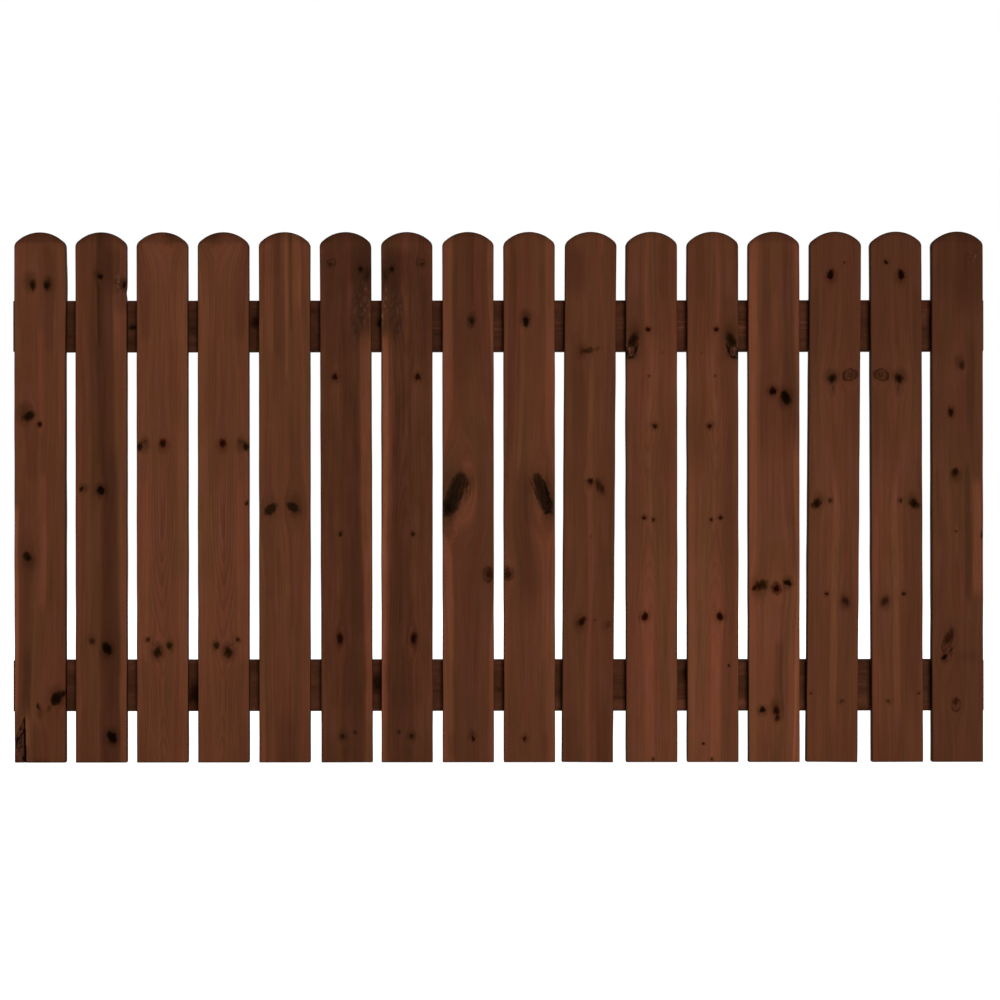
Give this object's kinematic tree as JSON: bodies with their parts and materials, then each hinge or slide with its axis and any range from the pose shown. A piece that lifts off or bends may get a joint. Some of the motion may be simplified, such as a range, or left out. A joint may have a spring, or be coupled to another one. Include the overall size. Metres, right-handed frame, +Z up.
{
  "type": "picket fence panel",
  "caption": "Straight wooden picket fence panel: round-headed planed pickets fixed side by side to the front of horizontal rails, stained dark brown, for closing a bay between posts.",
  "frame": {"origin": "middle of the bottom rail's back face, the face that goes against a post", "axes": "+X to the right along the panel, -Y the front that shows the pickets, +Z up"},
  "size_m": [1.8, 0.046, 0.9804],
  "materials": {
    "stained_pine": "satin"
  },
  "bodies": {
    "root": {"picket_01": "stained_pine", "picket_02": "stained_pine", "picket_03": "stained_pine", "picket_04": "stained_pine", "picket_05": "stained_pine", "picket_06": "stained_pine", "picket_07": "stained_pine", "picket_08": "stained_pine", "picket_09": "stained_pine", "picket_10": "stained_pine", "picket_11": "stained_pine", "picket_12": "stained_pine", "picket_13": "stained_pine", "picket_14": "stained_pine", "picket_15": "stained_pine", "picket_16": "stained_pine", "top_rail": "stained_pine", "bottom_rail": "stained_pine"}
  },
  "joints": []
}
